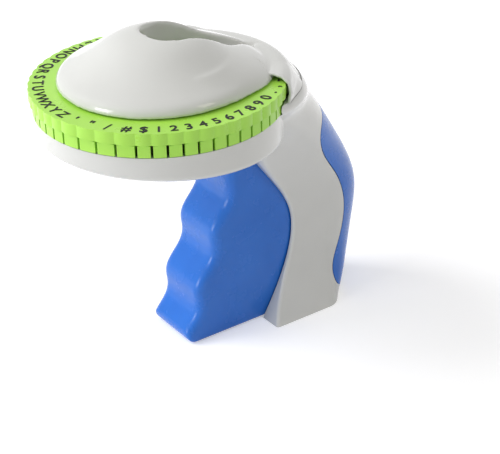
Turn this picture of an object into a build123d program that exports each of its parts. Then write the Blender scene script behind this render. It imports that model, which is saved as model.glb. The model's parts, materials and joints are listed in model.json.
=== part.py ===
from build123d import *
import os
from math import cos, hypot, pi, radians, sin, tan

# Hand-held embossing label maker, millimetres, +Z up, dial towards -Y
# Origin: middle of the flat rear pad of the handle base

# Walls and clearances
WALL = 2.2
RUN_GAP = 0.5
EDGE_GAP = 0.3
SLIDE_GAP = 0.2
PIN_FIT = 0.05
SEAT = 0.05

# Character dial
DIAL_Y = -60.0
RING_RADIUS = 45.0
RING_LOBE = 0.5
RING_INNER = 33.0
RING_HEIGHT = 4.3
FINGER_RADIUS = 44.0
FINGER_HEIGHT = 4.2
FINGER_THICK = 1.4
FINGER_ROOT = 24.0
TAB_THICK = 1.6
SLOT_WIDTH = 0.9
TAPE_GAP = 0.5
WIDE_COUNT = 4
WIDE_STEP = 9.0
NARROW_COUNT = 48
DIAL_START = -42.0
WEB_THICK = 1.8
HUB_RADIUS = 9.0
AXLE_RADIUS = 4.0
CAP_RADIUS = 6.5
CAP_HEIGHT = 1.7
DIAL_REACH = max(RING_RADIUS, FINGER_RADIUS)

# Head heights
HEAD_Z = 84.8
HEAD_TILT = 3.9
TRAY_RADIUS = 43.6
TRAY_HEIGHT = 10.9
TRAY_EDGE = 2.4
PARTING_Z = 99.0
COVER_GAP = 0.4

# Dome and scoop of the top cover
DOME_RADIUS = 35.3
DOME_HEIGHT = 17.0
SCOOP_FRONT = -4.0
SCOOP_WIDE_Y = 10.0
SCOOP_HALF = 9.5
SCOOP_END = 43.0
SCOOP_WALL = 1.8
SCOOP_FLOOR = 1.2
SCOOP_HOLE_END = 24.0
SHOULDER = [(-10, -1.6), (4, -0.3), (15, 0.4), (28, 1.4), (43, 4.2), (53, 5.2), (70, 6.0), (90, 6.3)]
SHOULDER_RISE = [(0.0, 1.0, 1.0), (2.6, 0.958, 0.75), (5.1, 0.88, 0.42), (8.5, 0.745, -0.15)]
MOUTH_INNER = (25.0, 32.4)
MOUTH_OUTER = (34.0, 31.4)
LABEL_INNER = 22.0
LABEL_FRONT = 8.0
LABEL_BACK = 1.4

# Handle
BASE_HALF = 22.3
WAIST_HALF = 14.1
WAIST_Z = 42.0
BASE_FRONT = -26.2
BASE_BACK = 11.2
WAIST_FRONT = -13.0
WAIST_BACK = 25.2
HOOD_SIDE = 7.8
HOOD_OVERLAP = 8.5
HOOD_HALF = DIAL_REACH - HOOD_SIDE
HOOD_BACK = DIAL_Y + DIAL_REACH + HOOD_OVERLAP

# Trigger
TRIGGER_HALF = 12.4
TRIGGER_WALL = 2.4
TRIGGER_FOOT = 0.15
PIVOT_Y = -27.0
PIVOT_Z = 74.5
TRIGGER_TOP = 77.5
GROOVE_PITCH = 21.3
GROOVE_DEPTH = 3.4
GROOVE_Z = 12.3
TRIGGER_TOE = -61.2
TRIGGER_LEAN = 0.36
TRIGGER_EDGE = 3.5
TOE_RISE = 5.4
TOE_BACK = 2.6
PIN_RADIUS = 1.5
BOSS_RADIUS = 4.2

# Press, cutter and feed
PLUNGER_INSET = 4.1
PLUNGER_Y = DIAL_Y + FINGER_RADIUS - PLUNGER_INSET
PLUNGER_HALF = 1.9
PLUNGER_LIFT = 1.14
NOSE_RADIUS = 1.4
CUTTER_X = -7.0
CUTTER_Y = PLUNGER_Y - 2.2
CUTTER_THICK = 0.8
CUTTER_HALF = 3.2
CUTTER_LIFT = 1.0
FEED_BEHIND = 7.0
PAWL_ROOT = 3.9
FEED_Y = DIAL_Y + DIAL_REACH + FEED_BEHIND
FEED_Z = 74.5
FEED_RADIUS = 5.0
FEED_HALF = 5.0
RATCHET_RADIUS = 6.0
RATCHET_TEETH = 8
PINCH_RADIUS = 3.2
PINCH_DROP = 1.5
PINCH_PIN = 1.2

# Tape
TAPE_HALF = 4.75
ROLL_RADIUS = 14.0
CORE_RADIUS = 6.0
SPINDLE_RADIUS = 2.5
ROLL_Y = 2.0
ROLL_Z = 36.0

# Trigger spring
SPRING_Z = 60.0
SPRING_RADIUS = 3.2
WIRE_RADIUS = 0.45
SPRING_TURNS = 6
BAR_Y = -12.5
BAR_THICK = 2.2
BAR_NOTCH = 0.9

# Cover screws
SCREW_X = 11.0
SCREW_BEHIND = 2.0
SCREW_Y = DIAL_Y + DIAL_REACH + SCREW_BEHIND
SCREW_RADIUS = 1.1
SCREW_HEAD = 2.2
POST_RADIUS = 2.2
SCREW_BITE = 2.6

# Heights that follow
TRAY_RIM_Z = HEAD_Z + TRAY_HEIGHT
FINGER_Z = TRAY_RIM_Z + EDGE_GAP + 0.1
FINGER_TOP = FINGER_Z + FINGER_HEIGHT
RING_Z = FINGER_TOP + TAPE_GAP
RING_TOP = RING_Z + RING_HEIGHT
RIM_Z = RING_TOP + COVER_GAP
DOME_TOP = RIM_Z + DOME_HEIGHT
HUB_TOP = RING_Z + 0.5 + WEB_THICK
FLOOR_Z = HEAD_Z + WALL
SLOT_HALF = TRIGGER_HALF + RUN_GAP
NARROW_STEP = (360.0 - WIDE_COUNT * WIDE_STEP) / NARROW_COUNT
DIAL_CLEAR = DIAL_REACH + RUN_GAP
FAR_SIDE = HOOD_HALF + 42.8
FAR_BACK = WAIST_BACK + 19.8


def rod_z(radius, low, high, x=0.0, y=0.0):
    return Pos(x, y, (low + high) / 2) * Cylinder(radius, high - low)


def rod_x(radius, left, right, y, z):
    return Pos((left + right) / 2, y, z) * Rot(0, 90, 0) * Cylinder(radius, right - left)


def block(x0, x1, y0, y1, z0, z1):
    return Pos((x0 + x1) / 2, (y0 + y1) / 2, (z0 + z1) / 2) * Box(x1 - x0, y1 - y0, z1 - z0)


def tilted_half(height):
    # Everything above the sloping underside of the head, shifted up by height
    plane = Pos(0, DIAL_Y, HEAD_Z + height) * Rot(-HEAD_TILT, 0, 0)
    return plane * Pos(0, 0, 100) * Box(400, 400, 200)


def rod_y(radius, front, back, x, z):
    return Pos(x, (front + back) / 2, z) * Rot(90, 0, 0) * Cylinder(radius, back - front)


# Handle and hood sections: height, front, back, half width, front corner, back depth
HANDLE = [
    (0.0, BASE_FRONT, BASE_BACK, BASE_HALF, 1.2, 12.0),
    (6.0, -22.8, 17.0, 18.6, 1.2, 16.0),
    (14.0, -18.7, 20.8, 15.8, 1.2, 18.5),
    (28.0, -13.6, 24.1, 14.3, 1.2, 20.0),
    (WAIST_Z, WAIST_FRONT, WAIST_BACK, WAIST_HALF, 1.2, 18.5),
    (56.0, -20.0, 20.5, 15.6, 1.4, 20.0),
    (70.0, -30.1, HOOD_BACK + 18.6, 19.3, 3.0, 20.0),
    (HEAD_Z, -40.0, HOOD_BACK + 9.1, HOOD_HALF - 10.7, 4.0, 28.0),
    (HEAD_Z + 7.4, -50.0, HOOD_BACK + 4.1, HOOD_HALF - 5.2, 4.0, 34.0),
    (PARTING_Z, -62.0, HOOD_BACK, HOOD_HALF, 4.0, 40.0),
]
HOOD = [
    (PARTING_Z, -62.0, HOOD_BACK, HOOD_HALF, 4.0, 40.0),
    (PARTING_Z + 3.0, -62.0, HOOD_BACK - 3.0, HOOD_HALF + 0.4, 4.0, 37.5),
    (PARTING_Z + 5.5, -62.0, HOOD_BACK - 5.0, HOOD_HALF, 4.0, 36.0),
    (RIM_Z + 0.8, -61.0, HOOD_BACK - 6.7, HOOD_HALF - 1.7, 4.0, 35.0),
    (RIM_Z + 2.0, -60.0, HOOD_BACK - 10.2, HOOD_HALF - 5.2, 4.0, 32.5),
    (RIM_Z + 2.8, -59.0, HOOD_BACK - 17.0, HOOD_HALF - 11.5, 4.0, 28.0),
]


def section(station, inset=0.0, drop=0.0):
    z, front, back, half, corner, depth = station
    low = front + inset
    high = back - inset
    wide = half
    if inset > 0:
        wide = max(half - inset, SLOT_HALF)
    bend = max(corner - inset, 0.6)
    deep = max(depth - inset, 4.0)
    turn = high - deep
    outline = [
        Line((bend - wide, low), (wide - bend, low)),
        RadiusArc((wide - bend, low), (wide, low + bend), -bend),
        Line((wide, low + bend), (wide, turn)),
        EllipticalCenterArc((0, turn), wide, deep, start_angle=0, arc_size=180),
        Line((-wide, turn), (-wide, low + bend)),
        RadiusArc((-wide, low + bend), (bend - wide, low), -bend),
    ]
    return Pos(0, 0, z - drop) * make_face(Wire(outline).edges())


def form(stations, inset=0.0):
    return loft([section(s, inset) for s in stations])


handle_outer = form(HANDLE)
handle_inner = form([(WALL,) + HANDLE[0][1:]] + HANDLE[1:], WALL)
ledge_inner = form([(WALL,) + HANDLE[0][1:]] + HANDLE[1:-2], WALL + 1.5)
hood_outer = form(HOOD)
hood_inner = loft([section(HOOD[0], WALL)] + [section(s, WALL, WALL) for s in HOOD[1:]])

# Dial: scalloped character ring above a wheel of spring fingers
steps = [NARROW_STEP] * NARROW_COUNT + [WIDE_STEP] * WIDE_COUNT
bounds = [DIAL_START]
for step in steps:
    bounds.append(bounds[-1] + step)


def polar(radius, angle):
    return (radius * cos(radians(angle)), radius * sin(radians(angle)))


lobes = []
for a, b in zip(bounds[:-1], bounds[1:]):
    root = RING_RADIUS - RING_LOBE
    lobes.append(ThreePointArc(polar(root, a), polar(RING_RADIUS, (a + b) / 2), polar(root, b)))
ring_face = make_face(Wire(lobes).edges())
ring = Pos(0, 0, RING_Z) * extrude(ring_face, RING_HEIGHT)
ring -= rod_z(RING_INNER, RING_Z - 1, RING_TOP + 1)
ring += rod_z(RING_INNER + 0.5, RING_Z + 0.5, HUB_TOP)
ring += rod_z(HUB_RADIUS, RING_Z - TAPE_GAP + SEAT, HUB_TOP)
ring -= rod_z(AXLE_RADIUS + PIN_FIT, RING_Z - 5, RING_TOP + 5)
character_ring = Pos(0, DIAL_Y, 0) * ring

BOSS_TOP = FLOOR_Z + 5.0
wheel = rod_z(FINGER_RADIUS, FINGER_TOP - FINGER_THICK, FINGER_TOP)
wheel += rod_z(FINGER_RADIUS, FINGER_Z, FINGER_TOP) - rod_z(FINGER_RADIUS - TAB_THICK, 0, 200)
slot = block(FINGER_ROOT, FINGER_RADIUS + 5, -SLOT_WIDTH / 2, SLOT_WIDTH / 2, FINGER_Z - 1, FINGER_TOP + 1)
wheel -= [Rot(0, 0, a) * slot for a in bounds[:-1]]
wheel += rod_z(HUB_RADIUS, BOSS_TOP + SEAT, FINGER_TOP)
wheel -= rod_z(AXLE_RADIUS + PIN_FIT, BOSS_TOP - 1, FINGER_TOP + 1)
finger_wheel = Pos(0, DIAL_Y, 0) * wheel

AXLE_FOOT = HEAD_Z + 3.0
dial_axle = rod_z(AXLE_RADIUS, AXLE_FOOT, HUB_TOP + SEAT, 0, DIAL_Y)
axle_cap = rod_z(CAP_RADIUS, HUB_TOP + SEAT, HUB_TOP + SEAT + CAP_HEIGHT, 0, DIAL_Y)
SCREW_PILOT = 1.6
axle_screw = rod_z(SCREW_PILOT, AXLE_FOOT - 1.0, AXLE_FOOT + 8.0, 0, DIAL_Y)
axle_screw += rod_z(3.2, AXLE_FOOT - 2.8, AXLE_FOOT - 1.0, 0, DIAL_Y)
dial_axle -= rod_z(SCREW_PILOT, AXLE_FOOT - 1.0, AXLE_FOOT + 8.0, 0, DIAL_Y)

# Lower housing: round tray and hollow handle in one moulding
tray = rod_z(TRAY_RADIUS, HEAD_Z - 15, TRAY_RIM_Z, 0, DIAL_Y) & tilted_half(0)
tray = fillet(tray.edges().sort_by(Axis.Z)[0], TRAY_EDGE)
above_floor = tilted_half(WALL)
tray_inner = rod_z(TRAY_RADIUS - WALL, HEAD_Z - 15, TRAY_RIM_Z + 1, 0, DIAL_Y) & above_floor
lower_outer = handle_outer + tray
lower_housing = lower_outer - (handle_inner - tilted_half(0)) - (handle_inner & above_floor) - tray_inner
lower_housing -= rod_z(FINGER_RADIUS + RUN_GAP, TRAY_RIM_Z, PARTING_Z + 1, 0, DIAL_Y)

# Axle boss, detent pad and plunger guide on the tray floor
boss = rod_z(HUB_RADIUS, HEAD_Z - 5, BOSS_TOP, 0, DIAL_Y) & tilted_half(0.5)
lower_housing += boss
lower_housing -= rod_z(AXLE_RADIUS, AXLE_FOOT, BOSS_TOP + 1, 0, DIAL_Y)
lower_housing -= rod_z(SCREW_PILOT, AXLE_FOOT - 2, AXLE_FOOT + 1, 0, DIAL_Y)
lower_housing -= rod_z(3.6, HEAD_Z - 10, AXLE_FOOT - 1.0, 0, DIAL_Y)

GUIDE_TOP = FINGER_Z - 2.0
guide = block(CUTTER_X - 2.2, PLUNGER_HALF + 2.0, CUTTER_Y - CUTTER_HALF - 1.6,
              PLUNGER_Y + PLUNGER_HALF + 1.6, HEAD_Z - 10, GUIDE_TOP)
lower_housing += guide & tilted_half(0.5)
lower_housing -= block(-PLUNGER_HALF - SLIDE_GAP, PLUNGER_HALF + SLIDE_GAP,
                       PLUNGER_Y - PLUNGER_HALF - SLIDE_GAP, PLUNGER_Y + PLUNGER_HALF + SLIDE_GAP,
                       HEAD_Z - 12, GUIDE_TOP + 1)
CUTTER_FOOT = HEAD_Z + 1.0
lower_housing -= block(CUTTER_X - CUTTER_THICK / 2 - SLIDE_GAP, CUTTER_X + CUTTER_THICK / 2 + SLIDE_GAP,
                       CUTTER_Y - CUTTER_HALF - SLIDE_GAP, CUTTER_Y + CUTTER_HALF + SLIDE_GAP,
                       CUTTER_FOOT - SEAT, GUIDE_TOP + 1)

# Slot for the trigger through the front wall and the base
SLOT_BACK = BASE_FRONT + 18.0
slot_box = block(-SLOT_HALF, SLOT_HALF, -90, WAIST_FRONT + WALL + 2 * RUN_GAP, -1, HEAD_Z + 2)
lower_housing -= slot_box - tilted_half(-0.01)
lower_housing -= block(-SLOT_HALF, SLOT_HALF, -90, SLOT_BACK, -1, WALL + 4)

# Pin bosses, spring bar and roll bosses inside the handle
PINCH_Y = FEED_Y + FEED_RADIUS + PINCH_RADIUS + 0.35
PINCH_Z = FEED_Z + PINCH_DROP
fittings = rod_x(BOSS_RADIUS, SLOT_HALF, 40, PIVOT_Y, PIVOT_Z)
fittings += rod_x(BOSS_RADIUS, -40, -SLOT_HALF, PIVOT_Y, PIVOT_Z)
for side in (-1, 1):
    reach = sorted((side * (FEED_HALF + 4.0), side * 40))
    fittings += rod_x(3.2, reach[0], reach[1], FEED_Y, FEED_Z)
    fittings += rod_x(3.0, reach[0], reach[1], PINCH_Y, PINCH_Z)
    reach = sorted((side * (TAPE_HALF + 1.2), side * 40))
    fittings += rod_x(4.5, reach[0], reach[1], ROLL_Y, ROLL_Z)
fittings += block(-40, 40, BAR_Y, BAR_Y + BAR_THICK, SPRING_Z - 5, SPRING_Z + 5)
for side in (-1, 1):
    notch = sorted((side * (TRIGGER_HALF - TRIGGER_WALL - RUN_GAP), side * 40))
    fittings -= block(notch[0], notch[1], BAR_Y - 1, BAR_Y + BAR_THICK + 1,
                      SPRING_Z - 6, SPRING_Z - BAR_NOTCH)
for side in (-1, 1):
    post = rod_z(POST_RADIUS, HEAD_Z - 10, PARTING_Z, side * SCREW_X, SCREW_Y) & tilted_half(0.5)
    fittings += post
lower_housing += fittings & handle_outer
# Detent pad on the tray floor
DETENT_ANGLE = bounds[46]
PAD_TOP = FLOOR_Z + 2.4
PAD_INNER = FINGER_ROOT - 8.5
PAD_OUTER = FINGER_ROOT - 2.0
pad = block(PAD_INNER, PAD_OUTER, -3.5, 3.5, HEAD_Z - 5, PAD_TOP)
lower_housing += (Pos(0, DIAL_Y, 0) * Rot(0, 0, DETENT_ANGLE) * pad) & tilted_half(0.5)

# Rear cover: wraps the back of the handle behind an S-shaped edge
COVER_EDGE = [(HOOD_BACK + 22.5, 82.0), (HOOD_BACK + 10.0, 81.6), (HOOD_BACK + 3.3, 76.5),
              (HOOD_BACK + 4.2, 67.8), (7.6, 52.3), (12.4, 39.1), (9.7, 22.6),
              (5.0, 10.9), (6.4, 5.6), (16.0, 4.4)]


def cover_zone(grow):
    # Region behind the S-shaped edge, with the edge moved outwards by grow
    edge = []
    for i, (y, z) in enumerate(COVER_EDGE):
        y0, z0 = COVER_EDGE[max(i - 1, 0)]
        y1, z1 = COVER_EDGE[min(i + 1, len(COVER_EDGE) - 1)]
        size = hypot(y1 - y0, z1 - z0)
        edge.append((0, y + grow * (z1 - z0) / size, z - grow * (y1 - y0) / size))
    rest = Polyline([edge[-1], (0, FAR_BACK, edge[-1][2]), (0, FAR_BACK, edge[0][2]), edge[0]])
    return extrude(make_face((Spline(edge) + rest).edges()), 40, dir=(1, 0, 0), both=True)


handle_wall = handle_outer - handle_inner
rear_cover = Pos(0, SEAT, 0) * (handle_wall & cover_zone(-EDGE_GAP))
ledge = (handle_inner - ledge_inner) & (cover_zone(1.5) - cover_zone(-2.5))
lower_housing -= cover_zone(0) & handle_wall
lower_housing += ledge

# Holes for screws, pins and axles
for side in (-1, 1):
    lower_housing -= rod_z(SCREW_RADIUS + SLIDE_GAP, 60, PARTING_Z + 1, side * SCREW_X, SCREW_Y)
lower_housing -= rod_z(FINGER_RADIUS + RUN_GAP, TRAY_RIM_Z, PARTING_Z + 1, 0, DIAL_Y)
pin_reach = SLOT_HALF + 4.5
lower_housing -= rod_x(PIN_RADIUS, -pin_reach, pin_reach, PIVOT_Y, PIVOT_Z)
feed_reach = FEED_HALF + 8.0
lower_housing -= rod_x(PIN_RADIUS, -feed_reach, feed_reach, FEED_Y, FEED_Z)
pinch_reach = FEED_HALF + 6.0
lower_housing -= rod_x(PINCH_PIN, -pinch_reach, pinch_reach, PINCH_Y, PINCH_Z)
roll_reach = TAPE_HALF + 5.5
lower_housing -= rod_x(SPINDLE_RADIUS, -roll_reach, roll_reach, ROLL_Y, ROLL_Z)

# Top cover: dome and hood with the teardrop scoop
def dome_solid(inset):
    edge = DOME_RADIUS - inset
    line = Spline([(edge, 0, RIM_Z), (edge * 0.88, 0, RIM_Z + DOME_HEIGHT * 0.3),
                   (edge * 0.6, 0, RIM_Z + DOME_HEIGHT * 0.66), (0, 0, DOME_TOP)],
                  tangents=[(0, 0, 1), (-1, 0, 0)])
    close = Polyline([(0, 0, DOME_TOP), (0, 0, RIM_Z), (edge, 0, RIM_Z)])
    return Pos(0, DIAL_Y, -inset) * revolve(make_face((line + close).edges()), Axis.Z)


def mouth_cut(extra):
    cuts = []
    for side in (-1, 1):
        inner = (MOUTH_INNER[0] - extra, MOUTH_INNER[1] + extra)
        outer = (MOUTH_OUTER[0], MOUTH_OUTER[1] + extra)
        front = -DIAL_REACH - 15.0
        corners = [inner, outer, (FAR_SIDE, 5.0 + extra), (FAR_SIDE, front), (inner[0], front)]
        outline = Polyline([(side * x, DIAL_Y + y) for x, y in corners], close=True)
        cuts.append(Pos(0, 0, PARTING_Z - 20) * extrude(make_face(outline), 60, dir=(0, 0, 1)))
    return cuts


def shoulder_solid(inset):
    # Flare that leads the dome's wall out into the hood on both sides
    faces = []
    for rise, share, fade in SHOULDER_RISE:
        near = []
        for angle, bulge in SHOULDER:
            grow = bulge * fade if bulge > 0 else bulge
            near.append(polar(DOME_RADIUS * share - inset + grow, angle))
        far = [(-x, y) for x, y in reversed(near[:-1])]
        face = make_face((Spline(near + far) + Line(far[-1], near[0])).edges())
        faces.append(Pos(0, DIAL_Y, RIM_Z + rise - inset) * face)
    return loft(faces)


def scoop_prism(grow, low, high):
    # Teardrop seen from above, widened by grow
    side = Spline([(0, SCOOP_FRONT - grow), (SCOOP_HALF + grow, SCOOP_WIDE_Y),
                   (SCOOP_HALF * 0.72 + grow, SCOOP_WIDE_Y + 16), (0, SCOOP_END + grow)],
                  tangents=[(1, 0), (-0.3, 1)])
    face = make_face((side + mirror(side, Plane.YZ)).edges())
    return Pos(0, DIAL_Y, low) * extrude(face, high - low, dir=(0, 0, 1))


cover_outer = (hood_outer - mouth_cut(0)) + dome_solid(0) + shoulder_solid(0)
hollow = dome_solid(WALL) + shoulder_solid(WALL) + (hood_inner - mouth_cut(WALL))
hollow -= scoop_prism(SCOOP_WALL, RIM_Z + 0.2, DOME_TOP + 5)
for side in (-1, 1):
    hollow -= rod_z(POST_RADIUS, PARTING_Z, PARTING_Z + SCREW_BITE + 1, side * SCREW_X, SCREW_Y)
    hollow += rod_z(SCREW_RADIUS, PARTING_Z - 1, PARTING_Z + SCREW_BITE, side * SCREW_X, SCREW_Y)
trough = scoop_prism(0, RIM_Z + SCOOP_FLOOR, DOME_TOP + 10)
hole = scoop_prism(-1.2, RIM_Z - 5, DOME_TOP) & block(-50, 50, DIAL_Y - 50, DIAL_Y + SCOOP_HOLE_END, 0, 200)
top_cover = cover_outer - hollow - trough - hole
top_cover -= rod_z(DIAL_CLEAR, PARTING_Z - 1, RIM_Z, 0, DIAL_Y)
top_cover -= block(-FAR_SIDE, -LABEL_INNER, DIAL_Y + DIAL_REACH - LABEL_FRONT,
                   DIAL_Y + DIAL_REACH + LABEL_BACK, FINGER_TOP - 0.1, RING_Z + 0.2)

# Screws that join cover and housing
SEAT_Z = HEAD_Z + (DIAL_Y - SCREW_Y) * tan(radians(HEAD_TILT)) + 0.5
cover_screws = None
for side in (-1, 1):
    screw = rod_z(SCREW_RADIUS, SEAT_Z - SEAT, PARTING_Z + SCREW_BITE - 0.1, side * SCREW_X, SCREW_Y)
    screw += rod_z(SCREW_HEAD, SEAT_Z - 2, SEAT_Z - SEAT, side * SCREW_X, SCREW_Y)
    cover_screws = screw if cover_screws is None else Compound([cover_screws, screw])
    lower_housing -= rod_z(SCREW_HEAD + EDGE_GAP, SEAT_Z - 9, SEAT_Z, side * SCREW_X, SCREW_Y)


# Trigger: hollow blade with three finger grooves
def trigger_front(z):
    wave = GROOVE_DEPTH / 2 * cos(2 * pi * (z - GROOVE_Z) / GROOVE_PITCH)
    return TRIGGER_TOE + TRIGGER_LEAN * z + wave


def trigger_face(shift, low, high, back):
    count = 22
    start = low + TOE_RISE
    rise = [start + (high - start) * i / count for i in range(count + 1)]
    toe_y = trigger_front(start) + shift
    front = Spline([(0, trigger_front(z) + shift, z) for z in rise])
    toe = ThreePointArc((0, toe_y + TOE_BACK, low), (0, toe_y + 0.2, low + 0.42 * TOE_RISE), (0, toe_y, start))
    rest = Polyline([(0, trigger_front(high) + shift, high)] + back + [(0, toe_y + TOE_BACK, low)])
    return make_face((front + toe + rest).edges())


rear = [(0, PLUNGER_Y + 3.2, TRIGGER_TOP), (0, PLUNGER_Y + 3.2, TRIGGER_TOP - 3), (0, -19.0, 64.0),
        (0, -14.0, 52.0), (0, -10.9, 40.0), (0, -11.6, 28.0), (0, -16.6, 14.0), (0, -23.8, TRIGGER_FOOT)]
blade = extrude(trigger_face(0, TRIGGER_FOOT, TRIGGER_TOP, rear), TRIGGER_HALF, dir=(1, 0, 0), both=True)
trigger_edges = [e for e in blade.edges().filter_by(GeomType.BSPLINE)]
blade = fillet(trigger_edges, TRIGGER_EDGE)
open_back = [(0, 40, TRIGGER_TOP - TRIGGER_WALL), (0, 40, TRIGGER_FOOT + TRIGGER_WALL)]
core = extrude(trigger_face(TRIGGER_WALL + 0.3, TRIGGER_FOOT + TRIGGER_WALL, TRIGGER_TOP - TRIGGER_WALL,
                            open_back), TRIGGER_HALF - TRIGGER_WALL, dir=(1, 0, 0), both=True)
trigger = blade - core
SEAT_Y = trigger_front(SPRING_Z) + TRIGGER_WALL + 1.5
trigger += rod_y(SPRING_RADIUS + 1.2, SEAT_Y - 2.5, SEAT_Y, 0, SPRING_Z)
for side in (-1, 1):
    reach = sorted((side * 6.0, side * TRIGGER_HALF))
    trigger += rod_x(BOSS_RADIUS, reach[0], reach[1], PIVOT_Y, PIVOT_Z)
NOSE_TOP = TRIGGER_TOP + 1.1
trigger += rod_x(NOSE_RADIUS, -3.5, 3.5, PLUNGER_Y, NOSE_TOP - NOSE_RADIUS)
trigger -= rod_x(PIN_RADIUS + PIN_FIT, -20, 20, PIVOT_Y, PIVOT_Z)
trigger_pin = rod_x(PIN_RADIUS, -pin_reach, pin_reach, PIVOT_Y, PIVOT_Z)

# Return spring between trigger and bar
spring_start = SEAT_Y + WIRE_RADIUS + SEAT
spring_length = BAR_Y - WIRE_RADIUS - SEAT - spring_start
coil = Helix(spring_length / SPRING_TURNS, spring_length, SPRING_RADIUS)
coil_end = Plane(origin=coil @ 0, z_dir=coil % 0)
trigger_spring = sweep(coil_end * Circle(WIRE_RADIUS), coil)
trigger_spring = Pos(0, spring_start, SPRING_Z) * Rot(-90, 0, 0) * trigger_spring

# Press plunger and cutter blade
FINGER_UNDER = FINGER_TOP - FINGER_THICK
PLUNGER_TOP = FINGER_UNDER - PLUNGER_LIFT - 0.15
press_plunger = block(-PLUNGER_HALF, PLUNGER_HALF, PLUNGER_Y - PLUNGER_HALF, PLUNGER_Y + PLUNGER_HALF,
                      NOSE_TOP + SEAT, PLUNGER_TOP)
cutter_top = FINGER_UNDER - CUTTER_LIFT - 0.5
cutter_blade = block(CUTTER_X - CUTTER_THICK / 2, CUTTER_X + CUTTER_THICK / 2, CUTTER_Y - CUTTER_HALF,
                     CUTTER_Y + CUTTER_HALF, CUTTER_FOOT, cutter_top)
cutter_blade = chamfer(cutter_blade.edges().filter_by(Axis.Y).sort_by(Axis.Z)[-1], 0.6)

# Dial detent: leaf with a ridge that drops between two fingers
leaf_top = FINGER_UNDER - 0.5
upper = [(PAD_INNER, PAD_TOP + 0.5), (PAD_OUTER, PAD_TOP + 0.5), (FINGER_ROOT + 3.0, leaf_top),
         (FINGER_ROOT + 9.0, leaf_top)]
lower = [(r, z - 0.5) for r, z in reversed(upper)]
leaf_face = make_face(Polyline([(r, 0, z) for r, z in upper + lower], close=True))
leaf = extrude(leaf_face, 2.5, dir=(0, 1, 0), both=True)
leaf += block(FINGER_ROOT + 4.0, FINGER_ROOT + 8.0, -0.28, 0.28, leaf_top - 0.2, FINGER_UNDER + 0.3)
detent_spring = Pos(0, DIAL_Y, SEAT) * Rot(0, 0, DETENT_ANGLE) * leaf

# Tape feed
feed_axle = rod_x(PIN_RADIUS, -feed_reach, feed_reach, FEED_Y, FEED_Z)
feed_roller = rod_x(FEED_RADIUS, -FEED_HALF, FEED_HALF, FEED_Y, FEED_Z)
feed_roller -= rod_x(PIN_RADIUS + PIN_FIT, -20, 20, FEED_Y, FEED_Z)
teeth = []
for i in range(RATCHET_TEETH):
    angle = 360 * i / RATCHET_TEETH
    teeth.append(polar(RATCHET_RADIUS, angle))
    teeth.append(polar(RATCHET_RADIUS - 1.1, angle + 4))
gear = extrude(make_face(Polyline(teeth, close=True)), 2.0, dir=(0, 0, 1)) - rod_z(PIN_RADIUS + PIN_FIT, -1, 5)
feed_ratchet = Pos(FEED_HALF + SEAT, FEED_Y, FEED_Z) * Rot(0, 90, 0) * gear
pinch_axle = rod_x(PINCH_PIN, -pinch_reach, pinch_reach, PINCH_Y, PINCH_Z)
pinch_roller = rod_x(PINCH_RADIUS, -FEED_HALF, FEED_HALF, PINCH_Y, PINCH_Z)
pinch_roller -= rod_x(PINCH_PIN + PIN_FIT, -20, 20, PINCH_Y, PINCH_Z)
pawl_tip = FEED_Y - RATCHET_RADIUS - 0.5
feed_pawl = block(FEED_HALF + 0.2, FEED_HALF + 1.9, PIVOT_Y + PAWL_ROOT, pawl_tip,
                  TRIGGER_TOP + SEAT, TRIGGER_TOP + 0.6)

# Tape roll on its core and spindle
tape_roll = rod_x(ROLL_RADIUS, -TAPE_HALF, TAPE_HALF, ROLL_Y, ROLL_Z)
tape_roll -= rod_x(CORE_RADIUS, -20, 20, ROLL_Y, ROLL_Z)
tape_core = rod_x(CORE_RADIUS, -TAPE_HALF - 0.4, TAPE_HALF + 0.4, ROLL_Y, ROLL_Z)
tape_core -= rod_x(SPINDLE_RADIUS + PIN_FIT, -20, 20, ROLL_Y, ROLL_Z)
tape_spindle = rod_x(SPINDLE_RADIUS, -roll_reach, roll_reach, ROLL_Y, ROLL_Z)

parts = {
    "lower_housing": lower_housing,
    "top_cover": top_cover,
    "rear_cover": rear_cover,
    "cover_screws": cover_screws,
    "character_ring": character_ring,
    "finger_wheel": finger_wheel,
    "dial_axle": dial_axle,
    "axle_cap": axle_cap,
    "axle_screw": axle_screw,
    "detent_spring": detent_spring,
    "trigger": trigger,
    "trigger_pin": trigger_pin,
    "trigger_spring": trigger_spring,
    "press_plunger": press_plunger,
    "cutter_blade": cutter_blade,
    "feed_pawl": feed_pawl,
    "feed_ratchet": feed_ratchet,
    "feed_roller": feed_roller,
    "feed_axle": feed_axle,
    "pinch_roller": pinch_roller,
    "pinch_axle": pinch_axle,
    "tape_roll": tape_roll,
    "tape_core": tape_core,
    "tape_spindle": tape_spindle,
}
os.makedirs("parts", exist_ok=True)
for name, shape in parts.items():
    export_step(shape, f"parts/{name}.step")
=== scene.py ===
import json
import math

import bpy
from mathutils import Matrix, Vector
from mathutils.bvhtree import BVHTree


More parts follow.
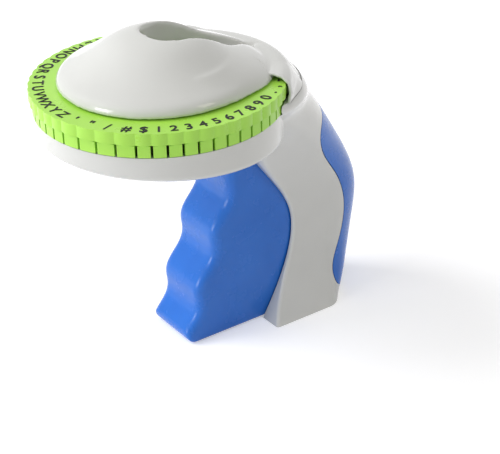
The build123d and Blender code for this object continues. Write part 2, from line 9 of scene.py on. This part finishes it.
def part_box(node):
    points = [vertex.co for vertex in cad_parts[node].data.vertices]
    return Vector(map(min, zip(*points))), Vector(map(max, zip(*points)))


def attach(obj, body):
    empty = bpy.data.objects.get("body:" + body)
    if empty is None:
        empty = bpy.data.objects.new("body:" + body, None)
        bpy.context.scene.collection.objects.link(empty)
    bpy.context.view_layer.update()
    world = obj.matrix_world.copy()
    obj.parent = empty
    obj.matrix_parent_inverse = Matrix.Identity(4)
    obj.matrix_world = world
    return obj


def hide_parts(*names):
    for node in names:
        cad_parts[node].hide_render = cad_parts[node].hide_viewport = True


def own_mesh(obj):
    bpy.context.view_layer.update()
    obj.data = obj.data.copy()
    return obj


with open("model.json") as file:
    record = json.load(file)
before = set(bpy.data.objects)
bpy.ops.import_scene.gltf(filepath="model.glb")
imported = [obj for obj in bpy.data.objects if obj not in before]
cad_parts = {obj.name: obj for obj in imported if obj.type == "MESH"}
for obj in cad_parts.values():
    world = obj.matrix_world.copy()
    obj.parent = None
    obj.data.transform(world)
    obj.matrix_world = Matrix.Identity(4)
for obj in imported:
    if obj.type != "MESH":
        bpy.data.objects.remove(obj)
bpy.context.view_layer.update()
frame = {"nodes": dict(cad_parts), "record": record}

nodes = frame["nodes"]
scene = bpy.context.scene
MM = 0.001

# Sizes shared with the solids, in millimetres and degrees
DIAL_Y = -60.0
RING_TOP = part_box("character_ring")[1].z / MM
PARTING_Z = 99.0
NARROW_STEP = 6.75
WIDE_STEP = 9.0
NARROW_COUNT = 48
DIAL_START = -42.0


# Helpers for pieces and node trees
def new_piece(name, shape):
    piece = bpy.data.objects.new(name, shape)
    scene.collection.objects.link(piece)
    return piece


def settled_mesh(piece):
    # Plain mesh of a piece with its modifiers worked in
    bpy.context.view_layer.update()
    return bpy.data.meshes.new_from_object(piece.evaluated_get(bpy.context.evaluated_depsgraph_get()))


def node(tree, kind, **settings):
    made = tree.nodes.new(kind)
    for name, value in settings.items():
        setattr(made, name, value)
    return made


def set_inputs(made, values):
    for name, value in values.items():
        made.inputs[name].default_value = value


def math_step(tree, operation, first, second):
    step = node(tree, "ShaderNodeMath", operation=operation)
    for socket, value in zip(step.inputs, (first, second)):
        if isinstance(value, (int, float)):
            socket.default_value = value
        else:
            tree.links.new(value, socket)
    return step.outputs[0]


# Materials, with the scale, detail and roughness of each noise
NOISE_LOW = 0.3
NOISE_HIGH = 0.7
FLOW_NOISE = (38.0, 3.0)
HANDLING_NOISE = (140.0, 4.0, 0.6)
STEEL_NOISE = (900.0, 3.0)
PAPER_NOISE = (300.0, 2.0)
GRAIN_DETAIL = 2.0
COAT_ROUGHNESS = 0.08


def new_finish(name):
    finish = bpy.data.materials.new(name)
    finish.use_nodes = True
    tree = finish.node_tree
    return finish, tree, tree.nodes["Principled BSDF"], node(tree, "ShaderNodeTexCoord")


def noise_field(tree, place, scale, detail, rough=0.5):
    field = node(tree, "ShaderNodeTexNoise")
    set_inputs(field, {"Scale": scale, "Detail": detail, "Roughness": rough})
    tree.links.new(place.outputs["Object"], field.inputs["Vector"])
    return field.outputs["Fac"]


def spread(tree, value, low, high):
    scale = node(tree, "ShaderNodeMapRange")
    set_inputs(scale, {"From Min": NOISE_LOW, "From Max": NOISE_HIGH, "To Min": low, "To Max": high})
    tree.links.new(value, scale.inputs["Value"])
    return scale.outputs["Result"]


def tint(tree, value, dark, light):
    ramp = node(tree, "ShaderNodeValToRGB")
    ends = ramp.color_ramp.elements
    for end, position, colour in zip(ends, (NOISE_LOW, NOISE_HIGH), (dark, light)):
        end.position = position
        end.color = (*colour, 1)
    tree.links.new(value, ramp.inputs["Fac"])
    return ramp.outputs["Color"]


def grain_bump(tree, shader, value, depth):
    bump = node(tree, "ShaderNodeBump")
    set_inputs(bump, {"Distance": depth, "Strength": 1.0})
    tree.links.new(value, bump.inputs["Height"])
    tree.links.new(bump.outputs["Normal"], shader.inputs["Normal"])


def moulded_plastic(name, dark, light, rough, grain_scale, grain_depth, coat=0.0, specular=0.5):
    finish, tree, shader, place = new_finish(name)
    flow = noise_field(tree, place, *FLOW_NOISE)
    tree.links.new(tint(tree, flow, dark, light), shader.inputs["Base Color"])
    handling = noise_field(tree, place, *HANDLING_NOISE)
    tree.links.new(spread(tree, handling, rough[0], rough[1]), shader.inputs["Roughness"])
    grain = noise_field(tree, place, grain_scale, GRAIN_DETAIL)
    grain_bump(tree, shader, grain, grain_depth)
    set_inputs(shader, {"Specular IOR Level": specular,
                        "Coat Weight": coat, "Coat Roughness": COAT_ROUGHNESS})
    return finish


def bright_steel(name):
    finish, tree, shader, place = new_finish(name)
    draw = noise_field(tree, place, *STEEL_NOISE)
    colour = tint(tree, draw, (0.52, 0.53, 0.54), (0.68, 0.69, 0.70))
    tree.links.new(colour, shader.inputs["Base Color"])
    tree.links.new(spread(tree, draw, 0.22, 0.36), shader.inputs["Roughness"])
    set_inputs(shader, {"Metallic": 1.0})
    return finish


shell_plastic = moulded_plastic("gloss_grey_shell", (0.615, 0.62, 0.60), (0.65, 0.655, 0.635),
                                (0.10, 0.16), 2600.0, 0.000002, coat=0.5)
blue_plastic = moulded_plastic("satin_blue_grip", (0.010, 0.136, 0.58), (0.018, 0.162, 0.64),
                               (0.20, 0.30), 3400.0, 0.000006, coat=0.10, specular=0.35)
lime_plastic = moulded_plastic("lime_dial_plastic", (0.38, 0.74, 0.075), (0.43, 0.80, 0.095),
                               (0.26, 0.36), 3000.0, 0.000006)
white_plastic = moulded_plastic("white_inner_plastic", (0.70, 0.70, 0.68), (0.77, 0.77, 0.75),
                                (0.42, 0.55), 3000.0, 0.000008)
roller_rubber = moulded_plastic("black_roller_rubber", (0.012, 0.012, 0.012), (0.022, 0.022, 0.022),
                                (0.7, 0.85), 4200.0, 0.00003)
label_tape = moulded_plastic("black_label_tape", (0.014, 0.014, 0.016), (0.024, 0.024, 0.027),
                             (0.32, 0.46), 5200.0, 0.00001)
character_ink = moulded_plastic("black_character_ink", (0.008, 0.009, 0.010), (0.014, 0.015, 0.016),
                                (0.42, 0.55), 4000.0, 0.000004)
seam_shadow = moulded_plastic("seam_shadow", (0.10, 0.095, 0.085), (0.13, 0.125, 0.115),
                              (0.6, 0.7), 3000.0, 0.000002)
steel = bright_steel("bright_steel")

finish_of_slot = {"shell": shell_plastic, "blue_grip": blue_plastic, "lime_dial": lime_plastic,
                  "steel": steel, "white_inner": white_plastic, "roller_rubber": roller_rubber,
                  "label_tape": label_tape}
for row in frame["record"]["subparts"]:
    solid = nodes[row["node"]]
    solid.data.materials.clear()
    solid.data.materials.append(finish_of_slot[row["material_slot"]])


# Characters printed on the ring, laid round the dial by a node tree
RING_TEXT = "$1234567890.,-+&%@?!()ABCDEFGHIJKLMNOPQRSTUVWXYZ'\"/#"
CHARACTER_SIZE = 5.6
CHARACTER_RADIUS = 41.2
CAP_SHARE = 0.729
INK_STROKE = 0.14
INK_HEIGHT = 0.04
PEN_SIDES = 6
CHARACTER_INPUTS = {
    "Characters": "NodeSocketString", "Size": "NodeSocketFloat", "Radius": "NodeSocketFloat",
    "Half Cap": "NodeSocketFloat", "Stroke": "NodeSocketFloat", "First Angle": "NodeSocketFloat",
    "Narrow Step": "NodeSocketFloat", "Wide Step": "NodeSocketFloat", "Narrow Count": "NodeSocketInt",
    "Dial Centre": "NodeSocketVector", "Ink": "NodeSocketMaterial"}


def character_angle(tree, given):
    # Middle of each place on the dial: narrow places first, then the wide ones
    order = node(tree, "GeometryNodeInputIndex").outputs[0]
    count, narrow_step, wide_step = (given[name] for name in ("Narrow Count", "Narrow Step", "Wide Step"))
    narrow = math_step(tree, "MINIMUM", order, count)
    wide = math_step(tree, "MAXIMUM", math_step(tree, "SUBTRACT", order, count), 0.0)
    is_wide = math_step(tree, "GREATER_THAN", order, math_step(tree, "SUBTRACT", count, 0.5))
    half_gain = math_step(tree, "MULTIPLY", math_step(tree, "SUBTRACT", wide_step, narrow_step), 0.5)
    half = math_step(tree, "ADD", math_step(tree, "MULTIPLY", narrow_step, 0.5),
                     math_step(tree, "MULTIPLY", is_wide, half_gain))
    along = math_step(tree, "ADD", math_step(tree, "MULTIPLY", narrow, narrow_step),
                      math_step(tree, "MULTIPLY", wide, wide_step))
    return math_step(tree, "ADD", math_step(tree, "ADD", along, half), given["First Angle"])


def ring_characters_tree():
    tree = bpy.data.node_groups.new("ring_characters", "GeometryNodeTree")
    for name, kind in CHARACTER_INPUTS.items():
        tree.interface.new_socket(name, in_out="INPUT", socket_type=kind)
    tree.interface.new_socket("Geometry", in_out="OUTPUT", socket_type="NodeSocketGeometry")
    given = node(tree, "NodeGroupInput").outputs
    link = tree.links.new

    text = node(tree, "GeometryNodeStringToCurves", pivot_mode="BOTTOM_CENTER")
    link(given["Characters"], text.inputs["String"])
    link(given["Size"], text.inputs["Size"])
    middle = node(tree, "ShaderNodeSeparateXYZ")
    link(text.outputs["Pivot Point"], middle.inputs[0])
    foot = node(tree, "ShaderNodeCombineXYZ")
    link(math_step(tree, "MULTIPLY", middle.outputs["X"], -1.0), foot.inputs["X"])
    reach = math_step(tree, "ADD", given["Radius"], given["Half Cap"])
    link(math_step(tree, "MULTIPLY", reach, -1.0), foot.inputs["Y"])
    gather = node(tree, "GeometryNodeSetPosition")
    link(text.outputs["Curve Instances"], gather.inputs["Geometry"])
    link(foot.outputs[0], gather.inputs["Position"])

    turn = node(tree, "ShaderNodeCombineXYZ")
    link(math_step(tree, "ADD", character_angle(tree, given), math.pi / 2), turn.inputs["Z"])
    spin = node(tree, "GeometryNodeRotateInstances")
    spin.inputs["Local Space"].default_value = False
    link(gather.outputs[0], spin.inputs["Instances"])
    link(turn.outputs[0], spin.inputs["Rotation"])
    seat = node(tree, "GeometryNodeTranslateInstances")
    seat.inputs["Local Space"].default_value = False
    link(spin.outputs[0], seat.inputs["Instances"])
    link(given["Dial Centre"], seat.inputs["Translation"])

    fill = node(tree, "GeometryNodeFillCurve")
    link(seat.outputs[0], fill.inputs["Curve"])
    pen = node(tree, "GeometryNodeCurvePrimitiveCircle")
    pen.inputs["Resolution"].default_value = PEN_SIDES
    link(given["Stroke"], pen.inputs["Radius"])
    outline = node(tree, "GeometryNodeCurveToMesh")
    link(seat.outputs[0], outline.inputs["Curve"])
    link(pen.outputs["Curve"], outline.inputs["Profile Curve"])
    both = node(tree, "GeometryNodeJoinGeometry")
    link(fill.outputs[0], both.inputs[0])
    link(outline.outputs[0], both.inputs[0])
    real = node(tree, "GeometryNodeRealizeInstances")
    link(both.outputs[0], real.inputs[0])
    ink = node(tree, "GeometryNodeSetMaterial")
    link(real.outputs[0], ink.inputs["Geometry"])
    link(given["Ink"], ink.inputs["Material"])
    link(ink.outputs[0], node(tree, "NodeGroupOutput").inputs[0])
    return tree


def grown_piece(name, tree, values):
    carrier = new_piece(name + "_carrier", bpy.data.meshes.new(name + "_carrier"))
    modifier = carrier.modifiers.new("grow", "NODES")
    modifier.node_group = tree
    for item in tree.interface.items_tree:
        if item.in_out == "INPUT":
            modifier[item.identifier] = values[item.name]
    grown = settled_mesh(carrier)
    bpy.data.objects.remove(carrier)
    return new_piece(name, grown)


def ring_lettering():
    piece = grown_piece("ring_lettering", ring_characters_tree(), {
        "Characters": RING_TEXT, "Size": CHARACTER_SIZE * MM, "Radius": CHARACTER_RADIUS * MM,
        "Half Cap": CAP_SHARE * CHARACTER_SIZE / 2 * MM, "Stroke": INK_STROKE * MM,
        "First Angle": math.radians(DIAL_START), "Narrow Step": math.radians(NARROW_STEP),
        "Wide Step": math.radians(WIDE_STEP), "Narrow Count": NARROW_COUNT,
        "Dial Centre": Vector((0, DIAL_Y, RING_TOP + INK_HEIGHT)) * MM, "Ink": character_ink})
    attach(piece, "dial")


ring_lettering()


# Rolled lip that finishes the hood where the dial runs in, one each side
LIP_CORE_RADIUS = 40.0
LIP_CORE_Z = 100.2
LIP_FAR = 25.0
LIP_LOW = -6.0
LIP_HIGH = 122.0
LIP_ACROSS = 44
LIP_ALONG = 30
LIP_EDGE = ((-6.0, 41.8), (20.0, 43.4), (44.0, 45.0), (70.0, 46.6), (90.0, 48.6), (122.0, 53.0))
LIP_REACH = ((-6.0, 6.9), (5.0, 6.95), (24.0, 7.6), (44.0, 8.3), (62.0, 8.2), (90.0, 7.7), (122.0, 6.8))
LIP_WALL = 1.1
LIP_ROLL = ((0.5, 1.0), (0.0, 0.6), (0.1, 0.2))
LIP_TURN = 0.7
LIP_TUCK = 0.05
LIP_PROUD = 0.10
LIP_MOST_STEP = 2.5
LIP_END_RIGHT = 66.0
LIP_END_LEFT = 57.0


def eased(share):
    return share * share * (3 - 2 * share)


def between(table, at):
    for (low, first), (high, second) in zip(table, table[1:]):
        if at <= high:
            return first + (second - first) * eased((at - low) / (high - low))
    return table[-1][1]


def surface_of(*shapes):
    corners = []
    faces = []
    for shape in shapes:
        first = len(corners)
        corners += [corner.co.copy() for corner in shape.vertices]
        faces += [[first + i for i in face.vertices] for face in shape.polygons]
    return BVHTree.FromPolygons(corners, faces)


def lip_point(side, round_angle, lean, reach):
    # Angle round the dial, lean from level and reach from a core circle
    turn = math.radians(round_angle)
    tilt = math.radians(lean)
    out = LIP_CORE_RADIUS + reach * math.cos(tilt)
    height = LIP_CORE_Z + reach * math.sin(tilt)
    return Vector((side * out * math.cos(turn), DIAL_Y + out * math.sin(turn), height))


def hood_reach(hood, side, round_angle, lean):
    inside = lip_point(side, round_angle, lean, 0.0)
    outside = lip_point(side, round_angle, lean, LIP_FAR)
    hit = hood.ray_cast(outside * MM, (inside - outside).normalized())[0]
    if hit is None:
        return 0.0
    return (hit / MM - inside).length


def lip_row(side, end_angle, hood, lean):
    edge = between(LIP_EDGE, lean)
    start = between(LIP_REACH, lean)
    finish = hood_reach(hood, side, end_angle, lean) - LIP_TUCK
    # The rolled edge, by degrees past the edge and share of the wall
    row = [lip_point(side, edge + turn, lean, start - share * LIP_WALL) for turn, share in LIP_ROLL]
    for j in range(LIP_ALONG + 1):
        share = j / LIP_ALONG
        angle = edge + LIP_TURN + (end_angle - edge - LIP_TURN) * share
        reach = start + (finish - start) * eased(share)
        cover = hood_reach(hood, side, angle, lean) + LIP_PROUD * (1 - share)
        if share < 1 and cover < reach + LIP_MOST_STEP:
            reach = max(reach, cover)
        row.append(lip_point(side, angle, lean, reach))
    return row


def mouth_lip(name, side, end_angle, hood):
    leans = [LIP_LOW + (LIP_HIGH - LIP_LOW) * i / LIP_ACROSS for i in range(LIP_ACROSS + 1)]
    rows = [lip_row(side, end_angle, hood, lean) for lean in leans]
    wide = len(rows[0])
    corners = [point * MM for row in rows for point in row]
    faces = []
    for i in range(LIP_ACROSS):
        for j in range(wide - 1):
            low = i * wide + j
            face = (low, low + 1, low + wide + 1, low + wide)
            faces.append(face if side > 0 else face[::-1])
    sheet = bpy.data.meshes.new(name)
    sheet.from_pydata(corners, [], faces)
    sheet.shade_smooth()
    sheet.materials.append(shell_plastic)
    piece = new_piece(name, sheet)
    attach(piece, "housing")
    return sheet, rows[0][len(LIP_ROLL):][::side]


hood_surface = surface_of(nodes["top_cover"].data)
lips = [mouth_lip("mouth_lip_right", 1, LIP_END_RIGHT, hood_surface),
        mouth_lip("mouth_lip_left", -1, LIP_END_LEFT, hood_surface)]


# Mouldings with softly rounded edges, grown from the solids
SOFT_TRIGGER = {"grain": 0.5, "rounding": 24}
SOFT_COVER = {"grain": 0.6, "rounding": 14}
WELD_GAP = 0.002
ROUNDING_SHARE = 0.5


def softened(name, solid, body, slot, grain, rounding):
    piece = new_piece(name, nodes[solid].data.copy())
    weld = piece.modifiers.new("weld", "WELD")
    weld.merge_threshold = WELD_GAP * MM
    skin = piece.modifiers.new("skin", "REMESH")
    skin.mode = "VOXEL"
    skin.voxel_size = grain * MM
    skin.use_smooth_shade = True
    ease = piece.modifiers.new("ease", "SMOOTH")
    ease.factor = ROUNDING_SHARE
    ease.iterations = rounding
    rounded = settled_mesh(piece)
    piece.modifiers.clear()
    piece.data = rounded
    rounded.materials.clear()
    rounded.materials.append(finish_of_slot[slot])
    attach(piece, body)
    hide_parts(solid)


softened("soft_trigger", "trigger", "trigger", "blue_grip", **SOFT_TRIGGER)
softened("soft_cover", "top_cover", "housing", "shell", **SOFT_COVER)


def return_spring():
    piece = new_piece("return_spring", nodes["trigger_spring"].data.copy())
    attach(piece, "housing")
    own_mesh(piece)
    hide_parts("trigger_spring")


return_spring()


# Dark ribbon of painted shade, standing in for the shadow in the gap where the cover meets the housing,
# and along the foot of the lips
SEAM_START = 46.0
SEAM_STEPS = 88
SEAM_HALF = 0.17
SEAM_PROUD = 0.03
SEAM_FAR = 90.0


def seam_point(surface, angle, height):
    turn = math.radians(angle)
    inward = Vector((-math.cos(turn), -math.sin(turn), 0))
    start = Vector((0, DIAL_Y, height)) - inward * SEAM_FAR
    hit = surface.ray_cast(start * MM, inward)[0]
    return hit - inward * SEAM_PROUD * MM


def ribbon_faces(first, last):
    # Quads between pairs of corners, each pair a lower and an upper one
    return [(i, i + 2, i + 3, i + 1) for i in range(first, last - 2, 2)]


def parting_gap_shade():
    sheets, feet = zip(*lips)
    outside = surface_of(nodes["lower_housing"].data, nodes["top_cover"].data, *sheets)
    corners = []
    for i in range(SEAM_STEPS + 1):
        angle = SEAM_START + (180 - 2 * SEAM_START) * i / SEAM_STEPS
        corners.append(seam_point(outside, angle, PARTING_Z - SEAM_HALF))
        corners.append(seam_point(outside, angle, PARTING_Z + SEAM_HALF))
    faces = ribbon_faces(0, len(corners))
    for foot in feet:
        first = len(corners)
        for point in foot:
            outward = Vector((point.x, point.y - DIAL_Y, 0)).normalized()
            edge = point + outward * SEAM_PROUD
            corners += [(edge - Vector((0, 0, 2 * SEAM_HALF))) * MM, edge * MM]
        faces += ribbon_faces(first, len(corners))
    # This dark strip is painted shade for the gap, not a dark colour of the plastic
    strip = bpy.data.meshes.new("parting_gap_shade")
    strip.from_pydata(corners, [], faces)
    strip.shade_smooth()
    strip.materials.append(seam_shadow)
    piece = new_piece("parting_gap_shade", strip)
    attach(piece, "housing")


parting_gap_shade()


# Studio: pale floor, soft lamps and the camera, in metres
FLOOR_HALF = 6.0
FLOOR_GLOW = 0.32
FAR_FLOOR_GLOW = 0.75
GLOW_NEAR = 0.2
GLOW_FAR = 1.6
AMBIENT_LIGHT = 0.42
WHITE_BACKGROUND = 1.0
LAMP_AIM = Vector((0, -0.03, 0.06))
LENS_LENGTH = 108.0
SENSOR_WIDTH = 36.0
NEAR_LIMIT = 0.01
CAMERA_PLACE = (0.41051, -0.30768, 0.31407)
CAMERA_RIGHT = (0.5791, 0.8150, -0.0189)
CAMERA_AHEAD = (-0.7159, 0.4973, -0.4901)


def seen_or_mirrored(tree):
    ray = node(tree, "ShaderNodeLightPath").outputs
    direct = math_step(tree, "MAXIMUM", ray["Is Camera Ray"], ray["Is Transmission Ray"])
    return math_step(tree, "MAXIMUM", direct, ray["Is Glossy Ray"])


def paper_finish():
    # White paper that glows a little where it is seen, and more far from the object
    finish, tree, shader, place = new_finish("white_paper")
    set_inputs(shader, {"Roughness": 0.9, "Specular IOR Level": 0.1, "Emission Color": (1, 1, 1, 1)})
    paper = noise_field(tree, place, *PAPER_NOISE)
    colour = tint(tree, paper, (0.90, 0.90, 0.915), (0.92, 0.92, 0.935))
    tree.links.new(colour, shader.inputs["Base Color"])
    away = node(tree, "ShaderNodeVectorMath", operation="LENGTH")
    tree.links.new(place.outputs["Object"], away.inputs[0])
    glow = node(tree, "ShaderNodeMapRange")
    set_inputs(glow, {"From Min": GLOW_NEAR, "From Max": GLOW_FAR,
                      "To Min": FLOOR_GLOW, "To Max": FAR_FLOOR_GLOW})
    tree.links.new(away.outputs["Value"], glow.inputs["Value"])
    shine = math_step(tree, "MULTIPLY", seen_or_mirrored(tree), glow.outputs["Result"])
    tree.links.new(shine, shader.inputs["Emission Strength"])
    return finish


def pale_floor():
    ground = bpy.data.meshes.new("floor")
    ground.from_pydata([(-FLOOR_HALF, -FLOOR_HALF, 0), (FLOOR_HALF, -FLOOR_HALF, 0),
                        (FLOOR_HALF, FLOOR_HALF, 0), (-FLOOR_HALF, FLOOR_HALF, 0)], [], [(0, 1, 2, 3)])
    ground.materials.append(paper_finish())
    piece = new_piece("floor", ground)


def white_world():
    world = bpy.data.worlds.new("studio")
    scene.world = world
    world.use_nodes = True
    tree = world.node_tree
    background = tree.nodes["Background"]
    strength = node(tree, "ShaderNodeMapRange")
    set_inputs(strength, {"To Min": AMBIENT_LIGHT, "To Max": WHITE_BACKGROUND})
    tree.links.new(seen_or_mirrored(tree), strength.inputs["Value"])
    set_inputs(background, {"Color": (1, 1, 1, 1)})
    tree.links.new(strength.outputs["Result"], background.inputs["Strength"])


def soft_lamp(name, place, size, power, mirrored, colour=(1, 1, 1)):
    lamp = bpy.data.lights.new(name, "AREA")
    lamp.shape = "RECTANGLE"
    lamp.size, lamp.size_y = size
    lamp.energy = power
    lamp.color = colour
    holder = new_piece(name, lamp)
    holder.location = place
    holder.rotation_euler = (LAMP_AIM - Vector(place)).to_track_quat("-Z", "Y").to_euler()
    holder.visible_glossy = mirrored


def photo_camera():
    lens = bpy.data.cameras.new("camera")
    lens.lens = LENS_LENGTH
    lens.sensor_width = SENSOR_WIDTH
    lens.clip_start = NEAR_LIMIT
    holder = new_piece("camera", lens)
    right = Vector(CAMERA_RIGHT).normalized()
    ahead = Vector(CAMERA_AHEAD).normalized()
    turn = Matrix((right, right.cross(ahead), -ahead)).transposed().to_4x4()
    holder.matrix_world = Matrix.Translation(CAMERA_PLACE) @ turn
    scene.camera = holder


pale_floor()
white_world()
soft_lamp("sky_window", (-0.75, -0.95, 1.05), (0.9, 0.9), 15.6, False)
soft_lamp("low_window", (-0.10, -1.25, 0.36), (0.40, 0.50), 4.5, True)
soft_lamp("side_window", (1.05, 0.45, 0.85), (0.40, 0.55), 1.5, True, (1, 0.93, 0.80))
soft_lamp("ceiling_window", (0.10, 0.20, 1.30), (0.60, 0.60), 1.5, False, (1, 0.96, 0.88))
photo_camera()
scene.view_settings.view_transform = "Standard"
